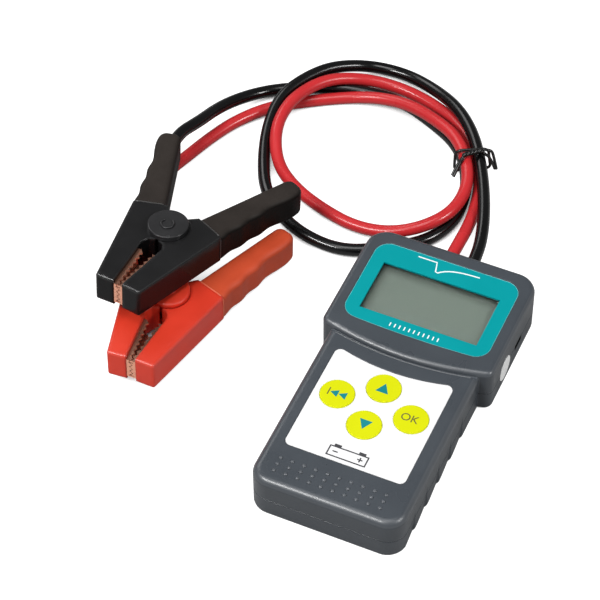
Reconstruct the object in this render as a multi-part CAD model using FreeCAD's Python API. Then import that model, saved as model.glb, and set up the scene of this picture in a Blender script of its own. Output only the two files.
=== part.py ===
import FreeCAD, Part
import math
import os

V = FreeCAD.Vector

# Hand-held battery tester with two clamp leads, lying on its back. Millimetres.
# X is to the right of the face, Y points to the end where the leads leave, Z points up.
# The origin is the middle of the flat back.

# Housing
length = 133.6
head_width = 71.5
handle_width = 62.0
thickness = 21.0
face_step = 1.0
head_length = 53.3
chin_sag = 5.3
head_corner = 9.0
end_corner = 8.0
shoulder_round = 3.5
top_round = 2.2
handle_round = 3.2
back_round = 1.2
chin_groove_width = 1.4
chin_groove_depth = 1.2
seam_width = 0.3
seam_depth = 0.25
wall = 2.0
rear_depth = 9.0
lip_height = 1.2
lip_thickness = 0.9
lip_gap = 0.15
seat_gap = 0.15

# Side grips and thumb pips
notch_count = 5
notch_pitch = 11.8
notch_depth = 0.8
notch_ramp = 10.4
notch_lead = 1.2
notch_height = 14.0
notch_from_shoulder = 18.0
pip_columns = 10
pip_rows = 3
pip_pitch_x = 4.75
pip_pitch_y = 3.15
pip_radius = 0.6
pip_height = 0.4
pip_from_end = 6.4
pip_shift = -1.0

# Display
panel_width = 60.6
panel_height = 40.4
panel_from_far_end = 6.7
panel_corner = 6.2
panel_sag = 1.2
panel_thickness = 0.8
panel_sink = 0.2
window_width = 49.2
window_height = 25.1
window_from_far_end = 29.3
window_lap = 1.8
window_thickness = 1.0
cell_thickness = 1.8
cell_lap = 1.2
tray_rim = 1.2
tray_depth = 4.0
tray_lip = 1.0
tray_gap = 0.6
tray_leg_radius = 1.5

# Keys and label
label_width = 48.8
label_height = 51.1
label_from_end = 19.4
label_sag = 3.7
label_corner = 2.5
label_thickness = 0.4
key_diameter = 13.7
key_spread_x = 15.2
key_spread_y = 9.55
key_from_end = 48.8
key_proud = 0.4
key_gap = 0.1
key_flange = 0.9
key_flange_thickness = 0.8
key_flange_gap = 0.3
key_stem_radius = 2.0
key_stem = 0.35
key_travel = 0.5
switch_side = 6.0
switch_height = 3.6
switch_button_radius = 1.75
switch_gap = 0.05

# Circuit board and what sits on it
board_thickness = 1.6
board_drop = 1.9
board_wall_gap = 3.0
board_from_end = 15.5
board_from_far_end = 15.0
standoff_radius = 2.5
standoff_inset = 4.5
processor_side = 9.0
processor_height = 1.4
driver_length = 7.0
driver_width = 5.0
driver_height = 1.6
regulator_length = 5.0
regulator_width = 4.0
regulator_height = 1.8
chip_step = 13.0
resistor_length = 22.0
resistor_width = 9.0
resistor_height = 3.0
resistor_round = 0.8
resistor_pitch = 14.0
socket_width = 6.4
socket_depth = 5.6
socket_height = 2.4
socket_shell = 0.35
socket_recess = 0.8
socket_from_far_end = 24.1
socket_gap = 0.3
tongue_thickness = 0.7

# Case screws
screw_side_inset = 7.2
screw_end_inset = 10.5
screw_far_inset = 8.4
screw_radius = 1.35
screw_head_radius = 2.6
screw_head_height = 2.0
screw_seat = 3.0
screw_length = 11.0
screw_gap = 0.1
boss_wall = 1.5
boss_height = 6.0
post_radius = 3.2

# Leads, glands and tie
lead_diameter = 5.2
lead_spread = 9.6
lead_bore_gap = 0.1
gland_neck_wall = 1.1
gland_flange = 0.8
gland_flange_thickness = 1.5
gland_collar = 2.0
gland_nose = 1.8
gland_nose_wall = 0.9
lug_radius = 3.0
lug_length = 6.0
lug_tab_width = 4.0
lug_tab_length = 9.0
lug_tab_thickness = 0.8
tie_wire = 1.3
tie_width = 13.8
tie_height = 12.5
tie_tail = 9.0
sticker_diameter = 10.6
sticker_thickness = 0.15
sticker_from_far_end = 38.4
sticker_z = 8.6

# Clamps, drawn with the pin on the Z axis and the jaws along -Y
jaw_reach = 37.0
jaw_tip_width = 7.9
jaw_tip_slant = 0.5
jaw_tip_gap = 4.0
jaw_body = 13.3
jaw_wall = 1.8
jaw_edge = 1.0
throat_width = 9.2
throat_from_pin = 12.3
throat_arch = 8.6
half_gap = 0.6
jaw_opening = 32.0
opening_margin = 2.0
grip_angle = 20.4
grip_root_x = 14.1
grip_root_y = 8.6
grip_root_width = 13.8
grip_end_width = 8.2
grip_length = 44.9
grip_edge = 2.4
grip_end_round = 3.6
grip_wall = 1.5
grip_gap = 0.1
grip_plug = 8.0
scallops = 3
scallop_span = 36.0
scallop_depth = 0.6
cap_radius = 8.25
cap_height = 2.2
cap_edge = 0.5
cap_boss_radius = 2.7
cap_boss_height = 0.25
pin_radius = 2.4
pin_running_gap = 0.06
pin_seat_gap = 0.02
knuckle_radius = 7.0
knuckle_gap = 0.3
cheek_thickness = 3.0
spring_wire = 1.2
spring_radius = 4.2
spring_whole_turns = 2
spring_leg = 9.0
spring_pitch = 1.26
spring_gap = 0.2
contact_thickness = 0.8
contact_gap = 0.4
contact_web_from_edge = 3.6
contact_length = 22.0
tooth_pitch = 2.6
tooth_depth = 1.2
rivet_head_radius = 1.5
rivet_head_height = 0.6
rivet_radius = 0.9
rivet_reach = 2.0
rivet_from_pin = 21.0

red_pivot = V(-97.6, 4.0, 0.33)
red_turn = 2.05
red_tilt = -2.28
black_pivot = V(-106.6, 22.0, 15.9)
black_turn = -5.75
black_tilt = -6.05

# Lead routes, from the board to the clamp, as the leads lie on the table
red_route = [
    (-4.8, 77.5, 9.0), (-4.9, 92.5, 7.4), (-7.0, 106.5, 4.6), (-10.4, 120.8, 4.1),
    (-20.1, 138.1, 4.2), (-32.5, 150.0, 2.9), (-47.5, 156.6, 2.7), (-63.2, 160.4, 2.7),
    (-78.2, 158.2, 5.2), (-90.0, 148.4, 9.8), (-96.8, 136.8, 9.8), (-100.5, 123.6, 10.4),
    (-99.6, 109.2, 8.4), (-92.4, 96.0, 3.8), (-80.0, 87.2, 2.7), (-65.0, 81.2, 2.7),
    (-49.5, 77.6, 2.7), (-34.5, 79.0, 4.0), (-21.7, 85.1, 7.1), (-13.4, 97.0, 8.3),
    (-12.9, 112.3, 8.8), (-18.7, 125.0, 9.8), (-27.8, 135.8, 9.8), (-39.5, 142.3, 8.8),
    (-53.2, 146.8, 8.2), (-68.5, 148.4, 5.0), (-82.5, 144.6, 2.7), (-96.0, 136.3, 2.7),
    (-109.7, 126.5, 2.7), (-119.6, 112.9, 2.7), (-125.2, 99.8, 2.7), (-129.2, 86.0, 3.2),
    (-132.0, 73.0, 5.2),
]
black_route = [
    (4.8, 77.5, 9.0), (1.6, 92.5, 9.4), (-5.0, 110.0, 10.0), (-13.2, 126.5, 10.0),
    (-22.0, 140.5, 9.8), (-33.4, 152.6, 8.8), (-48.0, 162.9, 4.6), (-63.5, 168.5, 2.7),
    (-79.2, 166.6, 3.4), (-91.8, 156.3, 7.6), (-99.6, 144.8, 9.0), (-105.8, 129.7, 8.8),
    (-104.9, 113.3, 5.4), (-99.3, 96.6, 2.7), (-91.6, 81.8, 2.7), (-80.0, 71.0, 2.7),
    (-64.5, 64.3, 2.7), (-48.0, 63.5, 2.7), (-33.0, 71.8, 2.7), (-19.8, 81.2, 2.7),
    (-12.6, 95.8, 2.7), (-13.8, 113.0, 3.2), (-19.5, 126.8, 4.4), (-28.8, 137.8, 4.0),
    (-41.8, 145.6, 2.7), (-58.0, 152.4, 2.7), (-75.0, 153.2, 2.7), (-91.0, 148.0, 2.7),
    (-105.0, 141.2, 2.7), (-116.2, 133.2, 3.2), (-123.7, 121.4, 6.0), (-127.3, 109.2, 9.8),
    (-128.4, 96.8, 14.2),
]
tie_centre = V(-19.25, 130.85, 0)
tie_turn = 120.0

# Heights and places that follow from the sizes above
y_far = length / 2
y_near = -length / 2
shoulder_y = y_far - head_length
handle_top = thickness - face_step
label_floor = handle_top - label_thickness
panel_floor = thickness - panel_sink - panel_thickness
board_top = rear_depth - board_drop
board_bottom = board_top - board_thickness
window_y = y_far - window_from_far_end
key_y = y_near + key_from_end
key_radius = key_diameter / 2
key_hole = key_radius + key_gap
flange_top = handle_top - wall - key_flange_gap
flange_bottom = flange_top - key_flange_thickness
stem_bottom = flange_bottom - key_stem
key_places = {
    "key_up": V(0, key_y + key_spread_y, 0),
    "key_down": V(0, key_y - key_spread_y, 0),
    "key_back": V(-key_spread_x, key_y, 0),
    "key_ok": V(key_spread_x, key_y, 0),
}
screw_places = []
for side in (-1, 1):
    screw_places.append((side * (handle_width / 2 - screw_side_inset), y_near + screw_end_inset, handle_top - wall))
    screw_places.append((side * (head_width / 2 - screw_side_inset), y_far - screw_far_inset, thickness - wall))
lead_radius = lead_diameter / 2
lead_x = lead_spread / 2
lead_bore = lead_radius + lead_bore_gap
gland_neck = lead_bore + gland_neck_wall
lead_start_y = y_far - wall - gland_flange_thickness - seat_gap
socket_y = y_far - socket_from_far_end
body_low = cap_height
body_high = cap_height + jaw_body
clamp_mid = cap_height + jaw_body / 2
spring_turns = spring_whole_turns + 0.5 - grip_angle / 180
spring_rise = spring_turns * spring_pitch
spring_height = spring_rise + spring_wire
inner_cheek_thickness = (jaw_body - spring_height) / 2 - spring_gap - cheek_thickness - knuckle_gap


def disc(radius, z_low, z_high, x=0.0, y=0.0):
    return Part.makeCylinder(radius, z_high - z_low, V(x, y, z_low))


def block(x_low, x_high, y_low, y_high, z_low, z_high):
    return Part.makeBox(x_high - x_low, y_high - y_low, z_high - z_low, V(x_low, y_low, z_low))


def join(shapes):
    whole = shapes[0]
    for shape in shapes[1:]:
        whole = whole.fuse(shape)
    return whole.removeSplitter()


def upright_edges(shape, test):
    found = []
    for edge in shape.Edges:
        ends = [vertex.Point for vertex in edge.Vertexes]
        if len(ends) == 2 and abs(ends[0].x - ends[1].x) + abs(ends[0].y - ends[1].y) < 1e-6:
            if test(ends[0]):
                found.append(edge)
    return found


def level_edges(shape, z, test=lambda point: True):
    found = []
    for edge in shape.Edges:
        if all(abs(vertex.Point.z - z) < 1e-6 for vertex in edge.Vertexes):
            if test(edge.CenterOfMass):
                found.append(edge)
    return found


def prism(points, z_low, z_high):
    corners = [V(x, y, z_low) for x, y in points]
    face = Part.Face(Part.makePolygon(corners + corners[:1]))
    return face.extrude(V(0, 0, z_high - z_low))


def sagging_plate(half_width, y_low, y_high, low_sag, high_sag, z_low, z_high):
    """A plate whose lower and upper edges bow towards -Y by the two sags."""
    corners = [V(-half_width, y_low, z_low), V(half_width, y_low, z_low),
               V(half_width, y_high, z_low), V(-half_width, y_high, z_low)]

    def edge(a, b, sag):
        if sag == 0:
            return Part.LineSegment(a, b).toShape()
        middle = (a + b) * 0.5 - V(0, sag, 0)
        return Part.Arc(a, middle, b).toShape()

    outline = Part.Wire([
        edge(corners[0], corners[1], low_sag),
        edge(corners[1], corners[2], 0),
        edge(corners[2], corners[3], high_sag),
        edge(corners[3], corners[0], 0),
    ])
    return Part.Face(outline).extrude(V(0, 0, z_high - z_low))


def head_block(inset, z_low, z_high):
    low = shoulder_y + inset
    shape = sagging_plate(head_width / 2 - inset, low, y_far - inset, chin_sag, 0, z_low, z_high)
    shape = shape.makeFillet(head_corner - inset, upright_edges(shape, lambda p: p.y > low + 1))
    return shape.makeFillet(shoulder_round, upright_edges(shape, lambda p: p.y < low + 1))


def handle_block(inset, z_low, z_high):
    half = handle_width / 2 - inset
    shape = block(-half, half, y_near + inset, shoulder_y + head_length / 3, z_low, z_high)
    return shape.makeFillet(end_corner - inset, upright_edges(shape, lambda p: p.y < 0))


def plan(inset, z_low, z_high):
    return head_block(inset, z_low, z_high).fuse(handle_block(inset, z_low, z_high))


def housing_form():
    """The closed outside of the housing: head and handle with rounded edges and notched sides."""
    head = head_block(0, 0, thickness)
    head = head.makeFillet(top_round, level_edges(head, thickness))
    head = head.makeFillet(back_round, level_edges(head, 0))
    handle = handle_block(0, 0, handle_top)
    free = lambda p: p.y < shoulder_y + head_length / 3 - 1
    handle = handle.makeFillet(handle_round, level_edges(handle, handle_top, free))
    handle = handle.makeFillet(back_round, level_edges(handle, 0, free))
    handle = handle.cut(head_block(-chin_groove_width, handle_top - chin_groove_depth, thickness))
    form = head.fuse(handle)
    edge = handle_width / 2
    for side in (-1, 1):
        for index in range(notch_count):
            y = shoulder_y - notch_from_shoulder - index * notch_pitch
            corners = [V(side * (edge - notch_depth), y, 0), V(side * edge, y - notch_ramp, 0),
                       V(side * (edge + notch_depth), y - notch_ramp, 0),
                       V(side * (edge + notch_depth), y + notch_lead, 0), V(side * edge, y + notch_lead, 0)]
            face = Part.Face(Part.makePolygon(corners + corners[:1]))
            form = form.cut(face.extrude(V(side * notch_depth, 0, notch_height)))
    seam = (rear_depth - seam_width / 2, rear_depth + seam_width / 2)
    return form.cut(block(-length, length, -length, length, *seam).cut(plan(seam_depth, *seam)))


def panel_outline(grow, z_low, z_high):
    top = y_far - panel_from_far_end
    shape = sagging_plate(panel_width / 2 + grow, top - panel_height - grow, top + grow, panel_sag, 0, z_low, z_high)
    return shape.makeFillet(panel_corner + grow, upright_edges(shape, lambda p: True))


def label_outline(grow, z_low, z_high):
    low = y_near + label_from_end
    shape = sagging_plate(label_width / 2 + grow, low - grow, low + label_height + grow, 0, label_sag, z_low, z_high)
    return shape.makeFillet(label_corner + grow, upright_edges(shape, lambda p: True))


def window_plate(grow, z_low, z_high):
    half_x = window_width / 2 + grow
    half_y = window_height / 2 + grow
    return block(-half_x, half_x, window_y - half_y, window_y + half_y, z_low, z_high)


def lead_holes(radius):
    holes = [Part.makeCylinder(radius, 4 * wall, V(side * lead_x, y_far - 3 * wall, rear_depth), V(0, 1, 0))
             for side in (-1, 1)]
    return holes[0].fuse(holes[1])


def socket_hole():
    half = socket_width / 2 + socket_gap
    low = board_top - socket_gap
    high = board_top + socket_height + socket_gap
    edge = head_width / 2
    hole = block(edge - 3 * wall, edge + wall, socket_y - half, socket_y + half, low, high)
    ends = [e for e in hole.Edges if abs(e.tangentAt(e.FirstParameter).x) > 0.99]
    return hole.makeFillet(socket_gap, ends)


def front_cover(form):
    shell = form.cut(head_block(wall, wall, thickness - wall)).cut(handle_block(wall, wall, handle_top - wall))
    shell = shell.common(block(-length, length, -length, length, rear_depth, 2 * thickness))
    reach = wall - lip_thickness - lip_gap
    shell = shell.cut(plan(reach, rear_depth, rear_depth + lip_height + lip_gap))
    shell = shell.cut(panel_outline(seat_gap, panel_floor, 2 * thickness))
    shell = shell.cut(window_plate(window_lap + seat_gap, 0, 2 * thickness))
    shell = shell.cut(label_outline(seat_gap, label_floor, handle_top + panel_sink))
    posts = []
    pips = []
    for x, y, ceiling in screw_places:
        posts.append(disc(post_radius, boss_height, ceiling + wall / 2, x, y))
    for row in range(pip_rows):
        for column in range(pip_columns):
            x = pip_shift + (column - (pip_columns - 1) / 2) * pip_pitch_x
            y = y_near + pip_from_end + row * pip_pitch_y
            pips.append(Part.makeCone(pip_radius, pip_radius / 2, pip_height, V(x, y, handle_top)))
    shell = join([shell] + posts + pips)
    for place in key_places.values():
        shell = shell.cut(disc(key_hole, 0, 2 * thickness, place.x, place.y))
    for x, y, ceiling in screw_places:
        shell = shell.cut(disc(screw_radius + screw_gap, 0, screw_seat + screw_length + screw_gap, x, y))
    return shell.cut(lead_holes(gland_neck + seat_gap)).cut(socket_hole())


def standoff_places():
    handle_x = handle_width / 2 - wall - board_wall_gap - standoff_inset
    head_x = head_width / 2 - wall - board_wall_gap - standoff_inset
    low = y_near + board_from_end + standoff_inset
    high = y_far - board_from_far_end - standoff_inset
    places = []
    for side in (-1, 1):
        places += [(side * handle_x, low), (side * handle_x, shoulder_y - standoff_inset), (side * head_x, high)]
    return places


def rear_cover(form):
    shell = form.cut(head_block(wall, wall, thickness - wall)).cut(handle_block(wall, wall, handle_top - wall))
    shell = shell.common(block(-length, length, -length, length, -thickness, rear_depth))
    lip = plan(wall - lip_thickness, rear_depth - wall, rear_depth + lip_height)
    lip = lip.cut(plan(wall, rear_depth - 2 * wall, rear_depth + 2 * lip_height))
    boss_radius = screw_head_radius + screw_gap + boss_wall
    bosses = [disc(boss_radius, wall / 2, boss_height, x, y) for x, y, ceiling in screw_places]
    standoffs = [disc(standoff_radius, wall / 2, board_bottom, x, y) for x, y in standoff_places()]
    shell = join([shell, lip] + bosses + standoffs)
    for x, y, ceiling in screw_places:
        shell = shell.cut(disc(screw_head_radius + screw_gap, -wall, screw_seat, x, y))
        shell = shell.cut(disc(screw_radius + screw_gap, 0, 2 * thickness, x, y))
    return shell.cut(lead_holes(gland_neck + seat_gap)).cut(socket_hole())


def case_screws():
    screws = []
    for x, y, ceiling in screw_places:
        head = disc(screw_head_radius, screw_seat - screw_head_height, screw_seat, x, y)
        shank = disc(screw_radius, screw_seat, screw_seat + screw_length, x, y)
        screws.append(head.fuse(shank).removeSplitter())
    return Part.makeCompound(screws)


def side_sticker():
    return Part.makeCylinder(sticker_diameter / 2, sticker_thickness,
                             V(head_width / 2, y_far - sticker_from_far_end, sticker_z), V(1, 0, 0))


def display_bezel():
    top = panel_floor + panel_thickness
    panel = panel_outline(0, panel_floor, top)
    return panel.cut(window_plate(0, 0, 2 * thickness))


def display_window():
    return window_plate(window_lap, panel_floor - window_thickness, panel_floor)


def display_stack():
    """The glass cell in its tray; the tray stands on the board on four legs."""
    cell_top = thickness - wall - tray_gap
    cell = window_plate(window_lap + cell_lap, cell_top - cell_thickness, cell_top)
    tray_floor = cell_top - cell_thickness
    rim = window_lap + cell_lap + seat_gap
    tray = window_plate(rim + tray_rim, tray_floor - tray_depth, tray_floor + tray_lip)
    tray = tray.cut(window_plate(rim, tray_floor, 2 * thickness))
    legs = []
    for side_x in (-1, 1):
        for side_y in (-1, 1):
            x = side_x * (window_width / 2 - tray_leg_radius)
            y = window_y + side_y * (window_height / 2 - tray_leg_radius)
            legs.append(disc(tray_leg_radius, board_top, tray_floor, x, y))
    return cell, join([tray] + legs)


def keypad_label():
    label = label_outline(0, label_floor, handle_top)
    for place in key_places.values():
        label = label.cut(disc(key_hole, 0, 2 * thickness, place.x, place.y))
    return label


def key(place):
    cap = disc(key_radius, flange_bottom, handle_top + key_proud)
    cap = cap.makeFillet(key_proud * 0.9, level_edges(cap, handle_top + key_proud))
    flange = disc(key_radius + key_flange, flange_bottom, flange_top)
    stem = disc(key_stem_radius, stem_bottom, flange_bottom)
    shape = join([cap, flange, stem])
    shape.translate(place)
    return shape


def tact_switches():
    switches = []
    half = switch_side / 2
    button_top = stem_bottom - key_travel - switch_gap
    for place in key_places.values():
        body = block(place.x - half, place.x + half, place.y - half, place.y + half,
                     board_top, board_top + switch_height)
        button = disc(switch_button_radius, board_top, button_top, place.x, place.y)
        switches.append(join([body, button]))
    return Part.makeCompound(switches)


def main_board():
    handle_half = handle_width / 2 - wall - board_wall_gap
    head_half = head_width / 2 - wall - board_wall_gap
    low = y_near + board_from_end
    high = y_far - board_from_far_end
    step = shoulder_y + wall + board_wall_gap
    handle = block(-handle_half, handle_half, low, step, board_bottom, board_top)
    head = block(-head_half, head_half, step, high, board_bottom, board_top)
    return join([handle, head])


def board_chips():
    chips = []
    sizes = ((processor_side, processor_side, processor_height), (driver_length, driver_width, driver_height),
             (regulator_length, regulator_width, regulator_height))
    for index, (size_x, size_y, size_z) in enumerate(sizes):
        x = (index - 1) * chip_step
        y = shoulder_y - size_y / 2
        chips.append(block(x - size_x / 2, x + size_x / 2, y - size_y / 2, y + size_y / 2,
                           board_top, board_top + size_z))
    return Part.makeCompound(chips)


def load_resistors():
    resistors = []
    for index in (-1, 0, 1):
        y = key_y + index * resistor_pitch
        body = block(-resistor_length / 2, resistor_length / 2, y - resistor_width / 2, y + resistor_width / 2,
                     board_bottom - resistor_height, board_bottom)
        resistors.append(body.makeFillet(resistor_round, [e for e in body.Edges
                                                     if abs(e.CenterOfMass.z - board_bottom + resistor_height) < 1e-6]))
    return Part.makeCompound(resistors)


def usb_socket():
    face = head_width / 2 - socket_recess
    shell = block(face - socket_depth, face, socket_y - socket_width / 2, socket_y + socket_width / 2,
                  board_top, board_top + socket_height)
    inner = block(face - socket_depth + socket_shell, face + wall,
                  socket_y - socket_width / 2 + socket_shell, socket_y + socket_width / 2 - socket_shell,
                  board_top + socket_shell, board_top + socket_height - socket_shell)
    middle = board_top + socket_height / 2
    tongue = block(face - socket_depth, face - socket_recess,
                   socket_y - socket_width / 3, socket_y + socket_width / 3,
                   middle - tongue_thickness / 2, middle + tongue_thickness / 2)
    return join([shell.cut(inner), tongue])


def lead_terminals():
    lugs = []
    start = lead_start_y
    for side in (-1, 1):
        x = side * lead_x
        barrel = Part.makeCylinder(lug_radius, lug_length, V(x, start - lug_length, rear_depth), V(0, 1, 0))
        tab_end = start - lug_length / 2
        tab = block(x - lug_tab_width / 2, x + lug_tab_width / 2, tab_end - lug_tab_length - lug_length / 2, tab_end,
                    board_top, board_top + lug_tab_thickness)
        lugs.append(join([barrel, tab]))
    return Part.makeCompound(lugs)


def gland(x):
    inside = y_far - wall
    neck = Part.makeCylinder(gland_neck, wall, V(x, inside, rear_depth), V(0, 1, 0))
    flange_radius = gland_neck + gland_flange
    flange = Part.makeCylinder(flange_radius, gland_flange_thickness,
                               V(x, inside - gland_flange_thickness, rear_depth), V(0, 1, 0))
    collar = Part.makeCylinder(flange_radius, gland_collar, V(x, y_far, rear_depth), V(0, 1, 0))
    nose = Part.makeCone(gland_neck, lead_bore + gland_nose_wall, gland_nose,
                         V(x, y_far + gland_collar, rear_depth), V(0, 1, 0))
    bore = Part.makeCylinder(lead_bore, length, V(x, y_far - length / 2, rear_depth), V(0, 1, 0))
    return join([neck, flange, collar, nose]).cut(bore)


def route_wire(name, points):
    """Straight runs joined by tangent arcs, each as large as its two runs allow."""
    corners = [V(*point) for point in points]
    edges = []
    radii = []
    start = corners[0]
    for before, corner, after in zip(corners, corners[1:], corners[2:]):
        back = before - corner
        ahead = after - corner
        shorter = min(back.Length, ahead.Length)
        back.normalize()
        ahead.normalize()
        half_turn = (math.pi - back.getAngle(ahead)) / 2
        reach = 0.45 * shorter
        radius = reach / math.tan(half_turn)
        radii.append(radius)
        inward = back + ahead
        inward.normalize()
        middle = corner + inward * (radius / math.cos(half_turn) - radius)
        enter = corner + back * reach
        leave = corner + ahead * reach
        edges.append(Part.LineSegment(start, enter).toShape())
        edges.append(Part.Arc(enter, middle, leave).toShape())
        start = leave
    edges.append(Part.LineSegment(start, corners[-1]).toShape())
    wire = Part.Wire(edges)
    print(name, "length", round(wire.Length, 1), "radii", [round(radius, 1) for radius in radii])
    return wire


def tube(wire, radius):
    first = wire.Edges[0]
    ring = Part.Circle(first.valueAt(first.FirstParameter), first.tangentAt(first.FirstParameter), radius)
    solid = wire.makePipeShell([Part.Wire([ring.toShape()])], True, False)
    print("  volume over section times length", round(solid.Volume / (math.pi * radius ** 2 * wire.Length), 4))
    return solid


def twist_tie():
    """A wire ring round the bundle with its two ends twisted on top and splayed."""
    low = tie_wire / 2 + 0.1
    half = tie_width / 2
    high = low + tie_height
    corners = [V(-half, 0, low), V(half, 0, low), V(half, 0, high), V(-half, 0, high)]
    frame = Part.makePolygon(corners + corners[:1])
    rounded = Part.Face(frame).extrude(V(0, tie_wire, 0))
    uprights = [e for e in rounded.Edges if abs(e.tangentAt(e.FirstParameter).y) > 0.99]
    outer = rounded.makeFillet(half / 2, uprights)
    path = [face for face in outer.Faces if face.normalAt(0, 0).y < -0.99][0].OuterWire
    first = path.Edges[0]
    ring = Part.Circle(first.valueAt(first.FirstParameter), first.tangentAt(first.FirstParameter), tie_wire / 2)
    loop = path.makePipeShell([Part.Wire([ring.toShape()])], True, True)
    tails = []
    for side in (-1, 1):
        knee = V(side * half * 0.75, -tie_wire, high + tie_wire)
        tip = knee + V(side * tie_tail * 0.55, -tie_tail * 0.6, -tie_tail * 0.55)
        bend = route_wire("tie tail", [V(0, 0, high), knee, tip])
        tails.append(tube(bend, tie_wire / 2))
    shape = join([loop] + tails)
    shape.rotate(V(0, 0, 0), V(0, 0, 1), tie_turn - 90)
    shape.translate(tie_centre)
    return shape


def tooth_line(start, end, low, high):
    """A zigzag between the two values from start to end, one tooth per pitch."""
    count = max(1, round(abs(end - start) / tooth_pitch))
    step = (end - start) / (2 * count)
    return [(start + index * step, (low, high)[index % 2]) for index in range(2 * count + 1)]


def to_grip(shape):
    shape.rotate(V(0, 0, 0), V(0, 0, 1), -grip_angle)
    shape.translate(V(grip_root_x, grip_root_y, 0))
    return shape


def grip_half_width(along):
    return (grip_root_width + (grip_end_width - grip_root_width) * along / grip_length) / 2


def handle_core():
    """The tapered bar inside the sleeve, drawn along +Y from the seam."""
    inset = grip_wall + grip_gap
    end = grip_length - grip_plug
    points = [(-grip_half_width(0) + inset, -jaw_wall), (grip_half_width(0) - inset, -jaw_wall),
              (grip_half_width(end) - inset, end), (-grip_half_width(end) + inset, end)]
    return prism(points, body_low + inset, body_high - inset)


def grip_sleeve(cable_hole):
    """A soft sleeve over the handle: straight inside edge, finger scallops on the outside edge."""
    outer = []
    stations = 2 * scallops
    for index in range(stations + 1):
        along = scallop_span * (index + 0.3) / (stations + 1.2)
        dip = scallop_depth * (index % 2)
        outer.append(V(grip_half_width(along) - dip, along, body_low))
    root_out = V(grip_half_width(0), 0, body_low)
    end_out = V(grip_half_width(grip_length), grip_length, body_low)
    end_in = V(-grip_half_width(grip_length), grip_length, body_low)
    root_in = V(-grip_half_width(0), 0, body_low)
    wave = Part.BSplineCurve()
    wave.interpolate([root_out] + outer + [end_out])
    edges = [wave.toShape(), Part.LineSegment(end_out, end_in).toShape(),
             Part.LineSegment(end_in, root_in).toShape(), Part.LineSegment(root_in, root_out).toShape()]
    sleeve = Part.Face(Part.Wire(edges)).extrude(V(0, 0, jaw_body))
    sleeve = sleeve.makeFillet(grip_end_round, upright_edges(sleeve, lambda p: p.y > grip_length - 1))
    away_from_seam = lambda p: p.y > 0.5
    rim = level_edges(sleeve, body_low, away_from_seam) + level_edges(sleeve, body_high, away_from_seam)
    sleeve = sleeve.makeFillet(grip_edge, rim)
    inset = grip_wall
    end = grip_length - grip_plug + grip_gap
    pocket = prism([(-grip_half_width(0) + inset, -1), (grip_half_width(0) - inset, -1),
                    (grip_half_width(end) - inset, end), (-grip_half_width(end) + inset, end)],
                   body_low + inset, body_high - inset)
    sleeve = sleeve.cut(pocket)
    if cable_hole:
        sleeve = sleeve.cut(Part.makeCylinder(lead_bore, length, V(0, 0, clamp_mid), V(0, 1, 0)))
    return to_grip(sleeve)


def jaw_outline(inset):
    """Right half of the clamp from tip to grip seam; the arch of the throat is its inner edge."""
    inner_tip = jaw_tip_gap / 2
    outer_tip = inner_tip + jaw_tip_width - inset
    lean = math.radians(grip_angle)
    across = V(math.cos(lean), -math.sin(lean), 0)
    root = V(grip_root_x, grip_root_y, 0)
    seam_out = root + across * (grip_root_width / 2 - inset)
    seam_in = root - across * (grip_root_width / 2 - inset)
    squeeze = math.radians(jaw_opening / 2 + opening_margin)
    crotch = (knuckle_radius * math.sin(squeeze), knuckle_radius * math.cos(squeeze))
    return [(inner_tip, -jaw_reach + inset), (outer_tip, -jaw_reach - jaw_tip_slant + inset), (seam_out.x, seam_out.y),
            (seam_in.x, seam_in.y), crotch, (half_gap, -throat_arch),
            (throat_width * 0.35, -throat_arch - jaw_wall / 2), (throat_width / 2, -throat_from_pin)]


def inner_edge_x(y):
    """The throat edge between the arch and the tip."""
    share = (y + throat_from_pin) / (throat_from_pin - jaw_reach)
    return throat_width / 2 + share * (jaw_tip_gap - throat_width) / 2


def jaw_half(moving):
    """One moulded half, drawn as the right half: hollow jaw, hinge knuckle and handle core."""
    body = prism(jaw_outline(0), body_low, body_high)
    tip_corner = upright_edges(body, lambda p: p.y < -jaw_reach + 1 and p.x > jaw_tip_gap)
    body = body.makeFillet(jaw_edge, tip_corner)
    outside = lambda p: p.x > grip_root_x / 2 and p.y < grip_root_y or p.y < -jaw_reach + 1
    rim = level_edges(body, body_low, outside) + level_edges(body, body_high, outside)
    body = body.makeFillet(jaw_edge, [e for e in rim if e.BoundBox.YMax < grip_root_y])
    pocket_end = -throat_from_pin - jaw_wall
    outline = jaw_outline(jaw_wall)
    tip_y = -jaw_reach + jaw_wall
    outer_at_end = outline[1][0] + (outline[2][0] - outline[1][0]) * (pocket_end - tip_y) / (outline[2][1] - tip_y)
    pocket = prism([(0, tip_y), (outline[1][0], tip_y), (outer_at_end, pocket_end), (0, pocket_end)],
                   body_low + jaw_wall, body_high - jaw_wall)
    body = body.cut(pocket)
    low_cheek = (body_low, body_low + cheek_thickness)
    high_cheek = (body_high - cheek_thickness, body_high)
    low_inner = (low_cheek[1] + knuckle_gap, low_cheek[1] + knuckle_gap + inner_cheek_thickness)
    high_inner = (high_cheek[0] - knuckle_gap - inner_cheek_thickness, high_cheek[0] - knuckle_gap)
    clear = knuckle_radius + knuckle_gap
    mine, other = ([low_inner, high_inner], [low_cheek, high_cheek]) if moving else (
        [low_cheek, high_cheek], [low_inner, high_inner])
    for low, high in other:
        body = body.cut(disc(clear, low - knuckle_gap, high + knuckle_gap))
    body = body.cut(disc(clear, low_inner[1], high_inner[0]))
    body = join([body] + [disc(knuckle_radius, low, high) for low, high in mine])
    if moving:
        under_cap = cap_radius + knuckle_gap
        body = body.cut(disc(under_cap, 0, body_low + knuckle_gap))
        body = body.cut(disc(under_cap, body_high - knuckle_gap, 2 * body_high))
    body = body.cut(disc(pin_radius + (pin_running_gap if moving else pin_seat_gap), 0, 2 * body_high))
    body = body.cut(spring_slot())
    return join([body, to_grip(handle_core())])


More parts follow.
